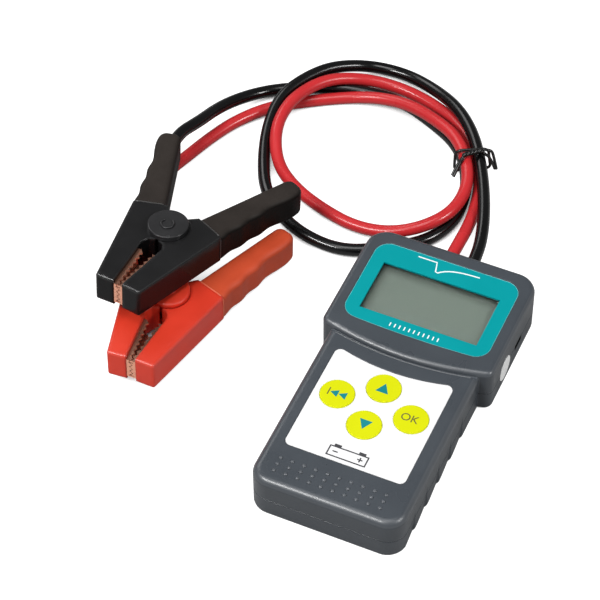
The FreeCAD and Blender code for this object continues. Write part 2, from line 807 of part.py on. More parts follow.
def spring_slot():
    room = spring_wire / 2 + knuckle_gap
    half_height = spring_height / 2 + spring_gap
    slot = block(spring_radius - room, spring_radius + room, 0, spring_leg + 2 * knuckle_gap,
                 clamp_mid - half_height, clamp_mid + half_height)
    slot.rotate(V(0, 0, 0), V(0, 0, 1), -grip_angle)
    return slot


def contact(moving):
    """Folded copper jaw: two toothed flanges, a web behind them and a toothed front end."""
    half_tooth = tooth_depth / 2
    side = 1 if moving else -1
    edge_gap = contact_gap / 2
    tip_y = -jaw_reach + contact_thickness / 4
    back_y = tip_y + contact_length
    low = body_low + jaw_wall
    high = body_high - jaw_wall
    web_x = inner_edge_x(-jaw_reach) + contact_web_from_edge
    inside_tip = -jaw_reach + jaw_wall + grip_gap
    lip_x = jaw_tip_gap / 2 - grip_gap

    def flange(z_low):
        teeth = tooth_line(tip_y, back_y, -half_tooth, half_tooth)
        edge = [(side * offset + edge_gap + inner_edge_x(y) - inner_edge_x(tip_y), y) for y, offset in teeth]
        points = edge + [(web_x, back_y), (web_x, inside_tip), (lip_x, inside_tip), (lip_x, tip_y)]
        return prism(points, z_low, z_low + contact_thickness)

    web = block(web_x - contact_thickness, web_x, inside_tip, back_y, low, high)
    front_low = low + contact_thickness + contact_gap
    front_high = high - contact_thickness - contact_gap
    back_x = half_tooth + 2 * edge_gap
    front_points = [V(back_x, tip_y, low), V(back_x, tip_y, front_low)]
    for z, offset in tooth_line(front_low, front_high, -half_tooth, half_tooth):
        front_points.append(V(side * offset + edge_gap, tip_y, z))
    front_points += [V(back_x, tip_y, front_high), V(back_x, tip_y, high), V(lip_x, tip_y, high), V(lip_x, tip_y, low)]
    front = Part.Face(Part.makePolygon(front_points + front_points[:1])).extrude(V(0, contact_thickness, 0))
    hole = Part.makeCylinder(rivet_radius + grip_gap / 2, 4 * contact_thickness,
                             V(web_x - 2 * contact_thickness, -rivet_from_pin, clamp_mid), V(1, 0, 0))
    return join([flange(low), flange(high - contact_thickness), web, front]).cut(hole)


def rivet():
    """Domed head on the throat side of the copper web, shank through it towards the jaw wall."""
    web_face = inner_edge_x(-jaw_reach) + contact_web_from_edge - contact_thickness
    head = Part.makeCylinder(rivet_head_radius, rivet_head_height,
                             V(web_face - rivet_head_height, -rivet_from_pin, clamp_mid), V(1, 0, 0))
    head = head.makeFillet(rivet_head_height * 0.8, [e for e in head.Edges
                                                     if abs(e.CenterOfMass.x - web_face + rivet_head_height) < 1e-6])
    shank = Part.makeCylinder(rivet_radius, rivet_reach, V(web_face, -rivet_from_pin, clamp_mid), V(1, 0, 0))
    return join([head, shank])


def pivot_pin():
    cap = disc(cap_radius, body_high, body_high + cap_height)
    cap = cap.makeFillet(cap_edge, level_edges(cap, body_high + cap_height))
    boss = disc(cap_boss_radius, body_high, body_high + cap_height + cap_boss_height)
    foot = disc(cap_radius, 0, cap_height)
    foot = foot.makeFillet(cap_edge, level_edges(foot, 0))
    return join([disc(pin_radius, 0, body_high), cap, boss, foot])


def jaw_spring():
    """Torsion spring: close turns round the pin and one leg along each handle."""
    start_z = clamp_mid - spring_rise / 2
    helix = Part.makeHelix(spring_pitch, spring_rise, spring_radius)
    helix.translate(V(0, 0, start_z))
    ring = Part.Circle(V(spring_radius, 0, start_z), V(0, 1, 0), spring_wire / 2)
    coil = Part.Wire(helix.Edges).makePipeShell([Part.Wire([ring.toShape()])], True, True)
    coil = coil.mirror(V(0, 0, 0), V(0, 1, 0))
    coil.rotate(V(0, 0, 0), V(0, 0, 1), -grip_angle)
    lean = math.radians(grip_angle)
    legs = []
    for side, z in ((1, start_z), (-1, start_z + spring_rise)):
        along = V(side * math.sin(lean), math.cos(lean), 0)
        foot = V(side * spring_radius * math.cos(lean), -spring_radius * math.sin(lean), z)
        legs.append(Part.makeCylinder(spring_wire / 2, spring_leg, foot, along))
    return coil, legs


def mirrored(shape):
    return shape.mirror(V(0, 0, 0), V(1, 0, 0))


def clamp_nodes():
    coil, legs = jaw_spring()
    return {
        "fixed_jaw": mirrored(jaw_half(False)),
        "moving_jaw": jaw_half(True),
        "fixed_grip": mirrored(grip_sleeve(True)),
        "moving_grip": grip_sleeve(False),
        "fixed_contact": mirrored(contact(False)),
        "moving_contact": contact(True),
        "fixed_rivet": mirrored(rivet()),
        "moving_rivet": rivet(),
        "pivot_pin": pivot_pin(),
        "jaw_spring": join([coil] + legs),
    }


def clamp_placement(pivot, turn, tilt):
    lean = FreeCAD.Rotation(V(1, 0, 0), tilt)
    yaw = FreeCAD.Rotation(V(0, 0, 1), turn)
    return FreeCAD.Placement(pivot, lean * yaw)


def lead_points(x, route, placement):
    """Board end, the laid route, a point just outside the handle and the end inside the handle."""
    lean = math.radians(grip_angle)
    axis = V(-math.sin(lean), math.cos(lean), 0)
    root = V(-grip_root_x, grip_root_y, clamp_mid)
    inside = placement.multVec(root + axis * (grip_length - grip_plug + grip_gap))
    outside = placement.multVec(root + axis * (grip_length + grip_plug * 0.6))
    print("  handle end", [tuple(round(c, 1) for c in point) for point in (outside, inside)])
    return [V(x, lead_start_y, rear_depth)] + [V(*point) for point in route] + [outside, inside]


def build():
    form = housing_form()
    cell, tray = display_stack()
    nodes = {
        "front_cover": front_cover(form),
        "rear_cover": rear_cover(form),
        "case_screws": case_screws(),
        "side_sticker": side_sticker(),
        "display_bezel": display_bezel(),
        "display_window": display_window(),
        "lcd_panel": cell,
        "lcd_frame": tray,
        "keypad_label": keypad_label(),
        "tact_switches": tact_switches(),
        "main_board": main_board(),
        "board_chips": board_chips(),
        "load_resistors": load_resistors(),
        "usb_socket": usb_socket(),
        "lead_terminals": lead_terminals(),
        "red_gland": gland(-lead_x),
        "black_gland": gland(lead_x),
        "twist_tie": twist_tie(),
    }
    for name, place in key_places.items():
        nodes[name] = key(place)
    red_place = clamp_placement(red_pivot, red_turn, red_tilt)
    black_place = clamp_placement(black_pivot, black_turn, black_tilt)
    for colour, place in (("red", red_place), ("black", black_place)):
        for name, shape in clamp_nodes().items():
            shape.Placement = place.multiply(shape.Placement)
            nodes[colour + "_" + name] = shape
    nodes["red_lead"] = tube(route_wire("red lead", lead_points(-lead_x, red_route, red_place)), lead_radius)
    nodes["black_lead"] = tube(route_wire("black lead", lead_points(lead_x, black_route, black_place)), lead_radius)
    return nodes


os.makedirs("parts", exist_ok=True)
for node, shape in build().items():
    print(node, "valid", shape.isValid(), "solids", len(shape.Solids), "volume", round(shape.Volume, 1))
    shape.exportStep("parts/" + node + ".step")
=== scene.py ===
import bmesh
import bpy
import math
from mathutils import Matrix, Vector


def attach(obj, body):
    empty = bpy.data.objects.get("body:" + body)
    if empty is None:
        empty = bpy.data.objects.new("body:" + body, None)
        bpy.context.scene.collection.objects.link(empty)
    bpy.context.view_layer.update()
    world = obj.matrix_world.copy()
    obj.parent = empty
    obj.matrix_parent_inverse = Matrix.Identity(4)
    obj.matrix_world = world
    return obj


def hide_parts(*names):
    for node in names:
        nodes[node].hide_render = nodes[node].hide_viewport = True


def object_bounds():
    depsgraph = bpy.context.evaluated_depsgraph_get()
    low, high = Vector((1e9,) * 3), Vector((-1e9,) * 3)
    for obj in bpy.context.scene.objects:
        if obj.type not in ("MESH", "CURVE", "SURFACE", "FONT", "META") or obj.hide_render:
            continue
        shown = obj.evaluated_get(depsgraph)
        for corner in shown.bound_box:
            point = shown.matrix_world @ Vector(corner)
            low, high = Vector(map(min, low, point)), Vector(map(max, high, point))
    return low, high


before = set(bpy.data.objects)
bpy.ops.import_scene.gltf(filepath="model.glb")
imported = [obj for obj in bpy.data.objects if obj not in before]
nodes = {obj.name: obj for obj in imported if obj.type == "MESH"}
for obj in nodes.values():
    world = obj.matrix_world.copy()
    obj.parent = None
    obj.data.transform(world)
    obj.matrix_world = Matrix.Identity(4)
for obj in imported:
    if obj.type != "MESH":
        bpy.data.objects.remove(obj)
cad_box = [list(corner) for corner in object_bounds()]

# Studio: the camera stands where the photograph was taken, over a seamless white paper floor.
# The main lamp hangs in front, a broad one overhead, and two more light the edges from right and left.
# The paper glows only to the camera, so that it comes out pure white, but stays dark deep under the clamps.
scene = bpy.context.scene
scene.view_settings.view_transform = "Standard"
camera_data = bpy.data.cameras.new("photo_camera")
camera_data.sensor_width = 36.0
camera_data.lens = 151.04
camera_data.clip_start = 0.05
camera = bpy.data.objects.new("photo_camera", camera_data)
scene.collection.objects.link(camera)
camera_right = Vector((0.91244, 0.40915, -0.00636))
camera_up = Vector((-0.30833, 0.69764, 0.64671))
camera_back = Vector((0.26904, -0.58813, 0.76271))
camera_place = Vector((0.21846, -0.56202, 0.77358))
camera.matrix_world = Matrix.Translation(camera_place) @ Matrix(
    (camera_right, camera_up, camera_back)).transposed().to_4x4()
scene.camera = camera


def settle(node, **values):
    """Sets a node's properties and sockets; a low line in a name stands for a space in a socket's name."""
    for key, value in values.items():
        if hasattr(node, key):
            setattr(node, key, value)
        else:
            node.inputs[key.replace("_", " ")].default_value = value


def add_node(tree, kind, links=(), **values):
    """Adds a node, settles it, and joins the (source socket, name or number of the input) pairs."""
    node = tree.nodes.new(kind)
    settle(node, **values)
    for source, target in links:
        tree.links.new(source, node.inputs[target])
    return node


def times(tree, first, second):
    """The product of two sockets."""
    return add_node(tree, "ShaderNodeMath", [(first, 0), (second, 1)], operation="MULTIPLY").outputs[0]


floor_half = 3.0
floor_mesh = bpy.data.meshes.new("floor")
floor_corners = [(-floor_half, -floor_half, 0), (floor_half, -floor_half, 0),
                 (floor_half, floor_half, 0), (-floor_half, floor_half, 0)]
floor_mesh.from_pydata(floor_corners, [], [(0, 1, 2, 3)])
floor = bpy.data.objects.new("floor", floor_mesh)
scene.collection.objects.link(floor)
paper = bpy.data.materials.new("studio_paper")
paper.use_nodes = True
paper_tree = paper.node_tree
paper_shader = paper_tree.nodes["Principled BSDF"]
settle(paper_shader, Base_Color=(0.38, 0.38, 0.38, 1), Roughness=0.9, Specular_IOR_Level=0.1,
       Emission_Color=(1, 1, 1, 1))
paper_ray = add_node(paper_tree, "ShaderNodeLightPath")
paper_open = add_node(paper_tree, "ShaderNodeAmbientOcclusion", samples=8, Distance=0.03)
paper_glow = add_node(paper_tree, "ShaderNodeMapRange", [(paper_open.outputs["AO"], "Value")],
                      From_Min=0.1, From_Max=0.3)
paper_seen = times(paper_tree, paper_ray.outputs["Is Camera Ray"], paper_glow.outputs["Result"])
paper_tree.links.new(paper_seen, paper_shader.inputs["Emission Strength"])
floor_mesh.materials.append(paper)

world = bpy.data.worlds.new("studio_room")
scene.world = world
world.use_nodes = True
settle(world.node_tree.nodes["Background"], Color=(1, 1, 1, 1), Strength=0.16)
object_middle = Vector((-0.04, 0.04, 0))


def softbox(name, azimuth, elevation, distance, width, height, power):
    """An oblong lamp that looks at the middle of the object; azimuth 0 is the near end."""
    data = bpy.data.lights.new(name, "AREA")
    data.shape = "RECTANGLE"
    data.size = width
    data.size_y = height
    data.energy = power
    lamp = bpy.data.objects.new(name, data)
    scene.collection.objects.link(lamp)
    turn, rise = math.radians(azimuth), math.radians(elevation)
    away = Vector((math.sin(turn) * math.cos(rise), -math.cos(turn) * math.cos(rise), math.sin(rise)))
    facing_in = away.to_track_quat("Z", "Y").to_matrix().to_4x4()
    lamp.matrix_world = Matrix.Translation(object_middle + away * distance) @ facing_in


softbox("main_lamp", azimuth=-32, elevation=51, distance=1.5, width=0.7, height=0.18, power=17)
softbox("top_lamp", azimuth=20, elevation=82, distance=1.4, width=0.7, height=0.7, power=7)
softbox("right_lamp", azimuth=88, elevation=38, distance=1.6, width=0.3, height=0.3, power=9.5)
softbox("left_lamp", azimuth=-120, elevation=42, distance=1.5, width=0.8, height=0.5, power=4)

# Housing: two half shells of dark grey ABS, injection moulded with a fine spark-eroded grain.
# The grain is in the mould, so it runs over both shells alike, and hands have polished it a little.
# Round edges are the most polished, so the skin marks what looks neither straight up nor out of a wall.
skin = bpy.data.node_groups.new("moulded_skin", "ShaderNodeTree")
for label, kind, preset in (
        ("Vector", "NodeSocketVector", None), ("Colour", "NodeSocketColor", (0.5, 0.5, 0.5, 1)),
        ("Mottle", "NodeSocketFloat", 0.05), ("Mottle Scale", "NodeSocketFloat", 60.0),
        ("Grain Scale", "NodeSocketFloat", 900.0), ("Roughness", "NodeSocketFloat", 0.4),
        ("Rubbed", "NodeSocketFloat", 0.06), ("Facing", "NodeSocketVector", None),
        ("Wall Shade", "NodeSocketFloat", 1.0)):
    socket = skin.interface.new_socket(label, in_out="INPUT", socket_type=kind)
    if preset is not None:
        socket.default_value = preset
for label, kind in (("Colour", "NodeSocketColor"), ("Roughness", "NodeSocketFloat"),
                    ("Height", "NodeSocketFloat"), ("Polish", "NodeSocketFloat")):
    skin.interface.new_socket(label, in_out="OUTPUT", socket_type=kind)
skin_in = skin.nodes.new("NodeGroupInput").outputs
skin_out = skin.nodes.new("NodeGroupOutput").inputs
up = add_node(skin, "ShaderNodeSeparateXYZ", [(skin_in["Facing"], "Vector")]).outputs["Z"]
above_wall = add_node(skin, "ShaderNodeMapRange", [(up, "Value")], From_Min=0.15, From_Max=0.35)
below_top = add_node(skin, "ShaderNodeMapRange", [(up, "Value")], From_Min=0.94, From_Max=0.87)
skin.links.new(times(skin, above_wall.outputs["Result"], below_top.outputs["Result"]), skin_out["Polish"])
blotch = add_node(skin, "ShaderNodeTexNoise", [
    (skin_in["Vector"], "Vector"), (skin_in["Mottle Scale"], "Scale")], Detail=3.0)
swing = add_node(skin, "ShaderNodeMapRange", [(blotch.outputs["Fac"], "Value")],
                 From_Min=0.3, From_Max=0.7, To_Min=-1.0, To_Max=1.0).outputs["Result"]
gain = add_node(skin, "ShaderNodeMath", [(times(skin, swing, skin_in["Mottle"]), 0)], operation="ADD")
gain.inputs[1].default_value = 1.0
# The walls' colour is scaled by the Wall Shade level against the tops: painted light and shade for how the
# light falls on walls.
wall_painted_light = add_node(skin, "ShaderNodeMapRange", [(up, "Value"), (skin_in["Wall Shade"], "To Min")],
                     From_Min=0.3, From_Max=0.9)
brightness = times(skin, gain.outputs[0], wall_painted_light.outputs["Result"])
shade = add_node(skin, "ShaderNodeVectorMath", [(skin_in["Colour"], 0), (brightness, "Scale")],
                 operation="SCALE")
skin.links.new(shade.outputs[0], skin_out["Colour"])
rough = add_node(skin, "ShaderNodeMath", [
    (times(skin, swing, skin_in["Rubbed"]), 0), (skin_in["Roughness"], 1)], operation="ADD", use_clamp=True)
skin.links.new(rough.outputs[0], skin_out["Roughness"])
grain = add_node(skin, "ShaderNodeTexNoise", [
    (skin_in["Vector"], "Vector"), (skin_in["Grain Scale"], "Scale")], Detail=4.0)
skin.links.new(grain.outputs["Fac"], skin_out["Height"])
broad_edge = 0.001
edge_samples = 6


def moulded(name, colour, roughness, grain_scale=900.0, grain_depth=0.00002, mottle=0.05, rubbed=0.05,
            specular=0.5, edge=0.0, edge_gloss=0.14, painted_wall_level=1.0):
    """A moulded plastic or rubber: mottled colour, uneven gloss, fine grain in relief, softened edges, and
    walls painted lighter or darker than tops as painted light and shade.
    """
    material = bpy.data.materials.new(name)
    material.use_nodes = True
    tree = material.node_tree
    shader = tree.nodes["Principled BSDF"]
    settle(shader, Specular_IOR_Level=specular)
    place = tree.nodes.new("ShaderNodeTexCoord")
    surface = add_node(tree, "ShaderNodeGroup", node_tree=skin, Colour=(*colour, 1), Roughness=roughness,
                       Grain_Scale=grain_scale, Mottle=mottle, Rubbed=rubbed, Wall_Shade=painted_wall_level)
    tree.links.new(place.outputs["Object"], surface.inputs["Vector"])
    relief = add_node(tree, "ShaderNodeBump", [(surface.outputs["Height"], "Height")],
                      Strength=1.0, Distance=grain_depth)
    facing = place.outputs["Normal"]
    if edge:
        softened = add_node(tree, "ShaderNodeBevel", samples=edge_samples, Radius=edge).outputs["Normal"]
        tree.links.new(softened, relief.inputs["Normal"])
        tree.links.new(surface.outputs["Polish"], shader.inputs["Coat Weight"])
        settle(shader, Coat_Roughness=edge_gloss)
        if edge > broad_edge:
            facing = softened
    tree.links.new(facing, surface.inputs["Facing"])
    tree.links.new(surface.outputs["Colour"], shader.inputs["Base Color"])
    tree.links.new(surface.outputs["Roughness"], shader.inputs["Roughness"])
    tree.links.new(relief.outputs["Normal"], shader.inputs["Normal"])
    return material


def dress(material, *names):
    """Gives the material to every slot of the named CAD nodes."""
    for name in names:
        for place in nodes[name].material_slots:
            place.material = material


shell_plastic = moulded("shell_plastic", (0.048, 0.056, 0.066), 0.31, grain_scale=1500.0,
                        grain_depth=0.000024, edge=0.0006, edge_gloss=0.52)
dress(shell_plastic, "front_cover", "rear_cover")

# Case screws: zinc-plated pan heads, sunk in the rear shell, that pull the two shells together.
# Each head has a cross recess for the driver, pressed in when the head is formed; it is drawn as a thin cross
# of painted shadow on the head.
MM = 0.001
brush_scale = (900, 60, 900)
brush_depth = 0.00001
tarnish_scale = 0.4


def first_node(tree, kind):
    return [node for node in tree.nodes if node.type == kind][0]


def metal(name, colour, roughness, metallic=1.0, painted_wall_level=1.0):
    """Drawn or stamped metal: fine lines in one direction, uneven polish and a little tarnish."""
    material = moulded(name, colour, roughness, grain_scale=1.0, grain_depth=brush_depth,
                       mottle=0.10, rubbed=0.10, painted_wall_level=painted_wall_level)
    tree = material.node_tree
    settle(tree.nodes["Principled BSDF"], Metallic=metallic)
    place = first_node(tree, "TEX_COORD")
    stretch = add_node(tree, "ShaderNodeMapping", [(place.outputs["Object"], "Vector")], Scale=brush_scale)
    surface = first_node(tree, "GROUP")
    settle(surface, Mottle_Scale=tarnish_scale)
    tree.links.new(stretch.outputs["Vector"], surface.inputs["Vector"])
    return material


plated_steel = metal("plated_steel", (0.62, 0.62, 0.63), 0.32)
dress(plated_steel, "case_screws")
recess_shadow = moulded("recess_shadow", (0.02, 0.02, 0.021), 0.6)

stamping = bpy.data.node_groups.new("stamp_at_points", "GeometryNodeTree")
for label, kind in (("Points", "NodeSocketGeometry"), ("Stamp", "NodeSocketObject"),
                    ("Size", "NodeSocketFloat"), ("Finish", "NodeSocketMaterial")):
    stamping.interface.new_socket(label, in_out="INPUT", socket_type=kind)
stamping.interface.new_socket("Stamped", in_out="OUTPUT", socket_type="NodeSocketGeometry")
stamping_in = stamping.nodes.new("NodeGroupInput").outputs
stamping_out = stamping.nodes.new("NodeGroupOutput").inputs
stamp_shape = add_node(stamping, "GeometryNodeObjectInfo", [(stamping_in["Stamp"], "Object")])
stamp_copies = add_node(stamping, "GeometryNodeInstanceOnPoints", [
    (stamping_in["Points"], "Points"), (stamp_shape.outputs["Geometry"], "Instance"),
    (stamping_in["Size"], "Scale")])
stamp_real = add_node(stamping, "GeometryNodeRealizeInstances", [(stamp_copies.outputs[0], 0)])
stamp_finish = add_node(stamping, "GeometryNodeSetMaterial", [
    (stamp_real.outputs[0], "Geometry"), (stamping_in["Finish"], "Material")])
stamping.links.new(stamp_finish.outputs[0], stamping_out["Stamped"])


def finished(name, shape):
    """The plain mesh of an edited shape, which is then freed."""
    mesh = bpy.data.meshes.new(name)
    shape.to_mesh(mesh)
    shape.free()
    return mesh


def solid_mesh(name, outlines, low, high):
    """Closed plates between two heights, one for each outline of (x, y) corners, all in metres."""
    shape = bmesh.new()
    for outline in outlines:
        below = [shape.verts.new((x, y, low)) for x, y in outline]
        above = [shape.verts.new((x, y, high)) for x, y in outline]
        shape.faces.new(list(reversed(below)))
        shape.faces.new(above)
        for index in range(len(outline)):
            after = (index + 1) % len(outline)
            shape.faces.new((below[index], below[after], above[after], above[index]))
    bmesh.ops.recalc_face_normals(shape, faces=shape.faces)
    return finished(name, shape)


def new_piece(name, mesh, material, body):
    """An object for a finished mesh, dressed, riding on its body and filed under its material slot."""
    mesh.materials.clear()
    mesh.materials.append(material)
    piece = bpy.data.objects.new(name, mesh)
    scene.collection.objects.link(piece)
    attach(piece, body)
    return piece


def plain_mesh(carrier):
    """The mesh that a curve, a word or a carrier with modifiers comes to; the carrier is then removed."""
    mesh = bpy.data.meshes.new_from_object(carrier.evaluated_get(bpy.context.evaluated_depsgraph_get()))
    bpy.data.objects.remove(carrier)
    return mesh


def stamped(name, points, stamp_mesh, material, body, size=1.0):
    """One piece that holds a copy of the stamp at every point, made by the stamping tree."""
    stamp = bpy.data.objects.new(name + "_stamp", stamp_mesh)
    carrier_mesh = bpy.data.meshes.new(name + "_points")
    carrier_mesh.from_pydata(points, [], [])
    carrier = bpy.data.objects.new(name + "_points", carrier_mesh)
    for thing in (stamp, carrier):
        scene.collection.objects.link(thing)
    modifier = carrier.modifiers.new("stamps", "NODES")
    modifier.node_group = stamping
    settings = {"Stamp": stamp, "Size": size, "Finish": material}
    for item in stamping.interface.items_tree:
        if item.in_out == "INPUT" and item.name in settings:
            modifier[item.identifier] = settings[item.name]
    mesh = plain_mesh(carrier)
    bpy.data.objects.remove(stamp)
    return new_piece(name, mesh, material, body)


def corners_of(name):
    """The corners of a CAD node's mesh, in metres."""
    return [vertex.co.copy() for vertex in nodes[name].data.vertices]


def spans(corners):
    """The least and the greatest x, y and z of some corners."""
    return [(min(places), max(places)) for places in zip(*corners)]


cross_reach = 1.5
cross_arm = 0.28
cross_proud = 0.03
cross_sunk = 0.05
screw_corners = corners_of("case_screws")
screw_face = spans(screw_corners)[2][0]
head_middles = []
for side_x in (-1, 1):
    for side_y in (-1, 1):
        group = [corner for corner in screw_corners if corner.x * side_x > 0 and corner.y * side_y > 0]
        across, along, _ = spans(group)
        head_middles.append((sum(across) / 2, sum(along) / 2, screw_face))
cross = [(cross_arm, cross_arm), (cross_arm, cross_reach), (-cross_arm, cross_reach),
         (-cross_arm, cross_arm), (-cross_reach, cross_arm), (-cross_reach, -cross_arm),
         (-cross_arm, -cross_arm), (-cross_arm, -cross_reach), (cross_arm, -cross_reach),
         (cross_arm, -cross_arm), (cross_reach, -cross_arm), (cross_reach, cross_arm)]
cross_outline = [(x * MM, y * MM) for x, y in cross]
cross_mesh = solid_mesh("screw_cross", [cross_outline], -cross_proud * MM, cross_sunk * MM)
stamped("screw_recesses", head_middles, cross_mesh, recess_shadow, "housing")

# Grip pips: thirty small domes in three rows on the near end of the face, moulded with the front shell.
# Thumbs wear their tops smooth, and the domes are painted a little lighter than the grained plastic round
# them, a painted highlight on their tops.
pip_plastic_painted_light = moulded("pip_plastic_painted_light", (0.082, 0.090, 0.102), 0.3, grain_scale=1500.0, grain_depth=0.00001)
face_height = 20.0
near_end = cad_box[0][1] / MM
pip_rows = 3
pip_columns = 10
pip_pitch_x = 4.75
pip_pitch_y = 3.15
pip_shift = -1.0
pip_from_end = 6.4
pip_radius = 0.82
pip_flatness = 0.75
pip_sunk = 0.1
dome_shape = bmesh.new()
bmesh.ops.create_uvsphere(dome_shape, u_segments=16, v_segments=10, radius=pip_radius * MM)
bmesh.ops.scale(dome_shape, vec=(1, 1, pip_flatness), verts=dome_shape.verts)
bmesh.ops.bisect_plane(dome_shape, geom=dome_shape.verts[:] + dome_shape.edges[:] + dome_shape.faces[:],
                       plane_co=(0, 0, -pip_sunk * MM), plane_no=(0, 0, 1), clear_inner=True)
for face in dome_shape.faces:
    face.smooth = True
bmesh.ops.holes_fill(dome_shape, edges=[edge for edge in dome_shape.edges if edge.is_boundary])
dome_mesh = finished("pip_dome", dome_shape)
pip_places = [((pip_shift + (column - (pip_columns - 1) / 2) * pip_pitch_x) * MM,
               (near_end + pip_from_end + row * pip_pitch_y) * MM, face_height * MM)
              for row in range(pip_rows) for column in range(pip_columns)]
stamped("grip_pips", pip_places, dome_mesh, pip_plastic_painted_light, "housing")

# Chin bead: a fine rounded lip along the far edge of the handle's face, below the curved chin of the head.
# It is moulded with the front shell, smoother than the grained face, and is painted much lighter than the
# shell, a painted highlight for the thin line of light that it catches.
chin_bead_painted_highlight = moulded("chin_bead_painted_highlight", (0.17, 0.18, 0.19), 0.5, grain_scale=1500.0, grain_depth=0.000004)
bead_wire = 0.28
chin_from_y = 4.0
looks_up = 0.99
level_slack = 0.00002
same_corner = 0.00001


def merged(name):
    """A copy of a node's mesh with its loose triangles joined."""
    shape = bmesh.new()
    shape.from_mesh(nodes[name].data)
    bmesh.ops.remove_doubles(shape, verts=shape.verts, dist=same_corner)
    return shape


def faces_at(shape, level):
    """The faces that look up at one height, in metres."""
    return {face for face in shape.faces if face.normal.z > looks_up
            and abs(face.calc_center_median().z - level) < level_slack}


def loops_round(shape, flat):
    """The closed edges of a set of faces, longest first, each as a list of points in order."""
    ahead = {}
    for edge in shape.edges:
        if sum(face in flat for face in edge.link_faces) == 1:
            first, last = edge.verts
            ahead.setdefault(first, []).append(last)
            ahead.setdefault(last, []).append(first)
    loops = []
    while ahead:
        start = next(iter(ahead))
        loop = [start]
        here = start
        while here in ahead:
            steps = [step for step in ahead.pop(here) if step in ahead]
            if not steps:
                break
            here = steps[0]
            loop.append(here)
        loops.append([vertex.co.copy() for vertex in loop])
    loops.sort(key=lambda loop: -sum((here - after).length for here, after in zip(loop, loop[1:])))
    return loops


def round_wire(name, routes, diameter, closed=False, smooth=False, steps=8, sides=3):
    """An object with a round curve along each route of points, all in metres."""
    curve = bpy.data.curves.new(name, "CURVE")
    curve.dimensions = "3D"
    curve.resolution_u = steps
    curve.bevel_depth = diameter / 2
    curve.bevel_resolution = sides
    curve.use_fill_caps = True
    for route in routes:
        spline = curve.splines.new("NURBS" if smooth else "POLY")
        spline.points.add(len(route) - 1)
        for point, place in zip(spline.points, route):
            point.co = (*place, 1)
        spline.use_cyclic_u = closed
        if smooth:
            spline.order_u = 3
            spline.use_endpoint_u = not closed
    wire = bpy.data.objects.new(name, curve)
    scene.collection.objects.link(wire)
    return wire


def wire_mesh(name, routes, diameter, closed=False, smooth=False):
    return plain_mesh(round_wire(name, routes, diameter, closed, smooth))


cover_shape = merged("front_cover")
handle_edge = loops_round(cover_shape, faces_at(cover_shape, face_height * MM))[0]
cover_shape.free()
chin_line = sorted((point for point in handle_edge if point.y > chin_from_y * MM), key=lambda point: point.x)
bead_mesh = wire_mesh("chin_bead", [chin_line], bead_wire * MM)
new_piece("chin_bead", bead_mesh, chin_bead_painted_highlight, "housing")

# Electronics: a green board with its chips, dome switches, load resistors and terminals, all behind the face.
# The small data socket is folded from plated steel, painted dark as the shade inside the opening, and looks
# out through the right wall of the head.
# A black plastic surround fills the wall's opening round the socket, just under the outside; its near-black,
# almost matte colour is a painted shade for the opening.
board_green = moulded("board_green", (0.012, 0.11, 0.045), 0.35, grain_scale=400.0, mottle=0.25)
dress(board_green, "main_board")
chip_black = moulded("chip_black", (0.015, 0.015, 0.016), 0.55, grain_scale=1200.0, grain_depth=0.00003)
dress(chip_black, "board_chips", "tact_switches")
ceramic = moulded("ceramic", (0.62, 0.60, 0.54), 0.7, grain_scale=1500.0, grain_depth=0.00005, mottle=0.08)
dress(ceramic, "load_resistors")
brass = metal("brass", (0.72, 0.55, 0.25), 0.3)
dress(brass, "lead_terminals")
socket_steel = metal("socket_steel", (0.16, 0.16, 0.165), 0.35)
dress(socket_steel, "usb_socket")
surround_painted_shade = moulded("surround_painted_shade", (0.004, 0.004, 0.0045), 0.6, specular=0.1)
surround_reach = 0.27
surround_wall = 0.35
surround_deep = 0.02
surround_flush = 0.75
surround_cut = 0.25
socket_x, socket_y, socket_z = spans([corner / MM for corner in corners_of("usb_socket")])


def socket_ring(grow, depth):
    """Eight corners round the socket's mouth, moved out by a distance, at a depth from the socket's face."""
    y0, y1 = socket_y[0] - grow, socket_y[1] + grow
    z0, z1 = socket_z[0] - grow, socket_z[1] + grow
    cut = surround_cut
    around = [(y0 + cut, z0), (y1 - cut, z0), (y1, z0 + cut), (y1, z1 - cut),
              (y1 - cut, z1), (y0 + cut, z1), (y0, z1 - cut), (y0, z0 + cut)]
    return [Vector((socket_x[1] + depth, y, z)) * MM for y, z in around]


surround_shape = bmesh.new()
surround_section = [(surround_reach, surround_deep), (surround_reach, surround_flush),
                    (-surround_wall, surround_flush), (-surround_wall, surround_deep)]
surround_rings = [[surround_shape.verts.new(corner) for corner in socket_ring(grow, depth)]
                  for grow, depth in surround_section]
for ring, onward in zip(surround_rings, surround_rings[1:] + surround_rings[:1]):
    for step in range(len(ring)):
        after = (step + 1) % len(ring)
        surround_shape.faces.new((ring[step], ring[after], onward[after], onward[step]))
bmesh.ops.recalc_face_normals(surround_shape, faces=surround_shape.faces)
surround_mesh = finished("socket_surround", surround_shape)
new_piece("socket_surround", surround_mesh, surround_painted_shade, "housing")

# Window and cell: a clear acrylic window under the panel, and behind it the grey-green glass cell.
# A pale moulded tray carries the cell on the board.
# The cell's colour is painted darker towards its far and left sides, a painted shadow of the panel's edge.
window_clear = bpy.data.materials.new("window_clear")
window_clear.use_nodes = True
window_tree = window_clear.node_tree
window_shader = window_tree.nodes["Principled BSDF"]
settle(window_shader, Base_Color=(1, 1, 1, 1), Roughness=0.03, Transmission_Weight=1.0, IOR=1.2)
window_ray = add_node(window_tree, "ShaderNodeLightPath")
see_through = add_node(window_tree, "ShaderNodeBsdfTransparent")
window_pick = add_node(window_tree, "ShaderNodeMixShader", [
    (window_ray.outputs["Is Shadow Ray"], "Fac"), (window_shader.outputs["BSDF"], 1),
    (see_through.outputs["BSDF"], 2)])
window_tree.links.new(window_pick.outputs[0], window_tree.nodes["Material Output"].inputs["Surface"])
dress(window_clear, "display_window")

